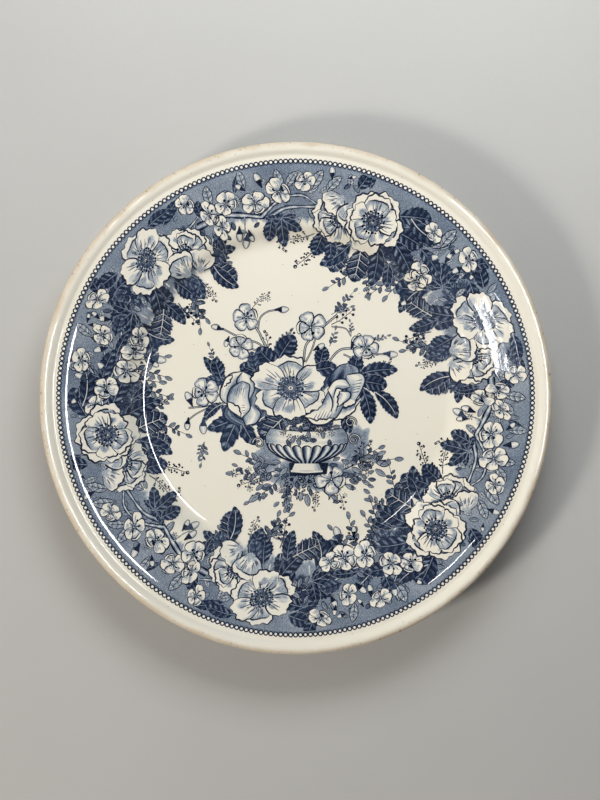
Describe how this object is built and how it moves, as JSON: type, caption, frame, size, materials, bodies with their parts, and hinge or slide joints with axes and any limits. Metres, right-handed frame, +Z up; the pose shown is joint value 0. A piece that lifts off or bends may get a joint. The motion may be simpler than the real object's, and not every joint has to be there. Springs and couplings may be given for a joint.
{
  "type": "dinner plate",
  "caption": "Round flat-rimmed earthenware dinner plate on a foot ring, with a blue printed floral border, a printed bouquet in the well and a clear glaze over both.",
  "frame": {"origin": "centre of the foot ring, on the plane that the plate stands on", "axes": "+Z up, through the middle of the well; +Y towards the top of the printed bouquet; +X to the bouquet's right"},
  "size_m": [0.254, 0.254, 0.0208],
  "materials": {
    "clay": "matte",
    "glaze": "gloss",
    "cobalt_ink": "gloss"
  },
  "bodies": {
    "root": {"clay_body": "clay", "front_glaze": "glaze", "back_glaze": "glaze", "base_glaze": "glaze", "border_print_1": "cobalt_ink", "border_print_2": "cobalt_ink", "border_print_3": "cobalt_ink", "centre_print": "cobalt_ink"}
  },
  "joints": []
}
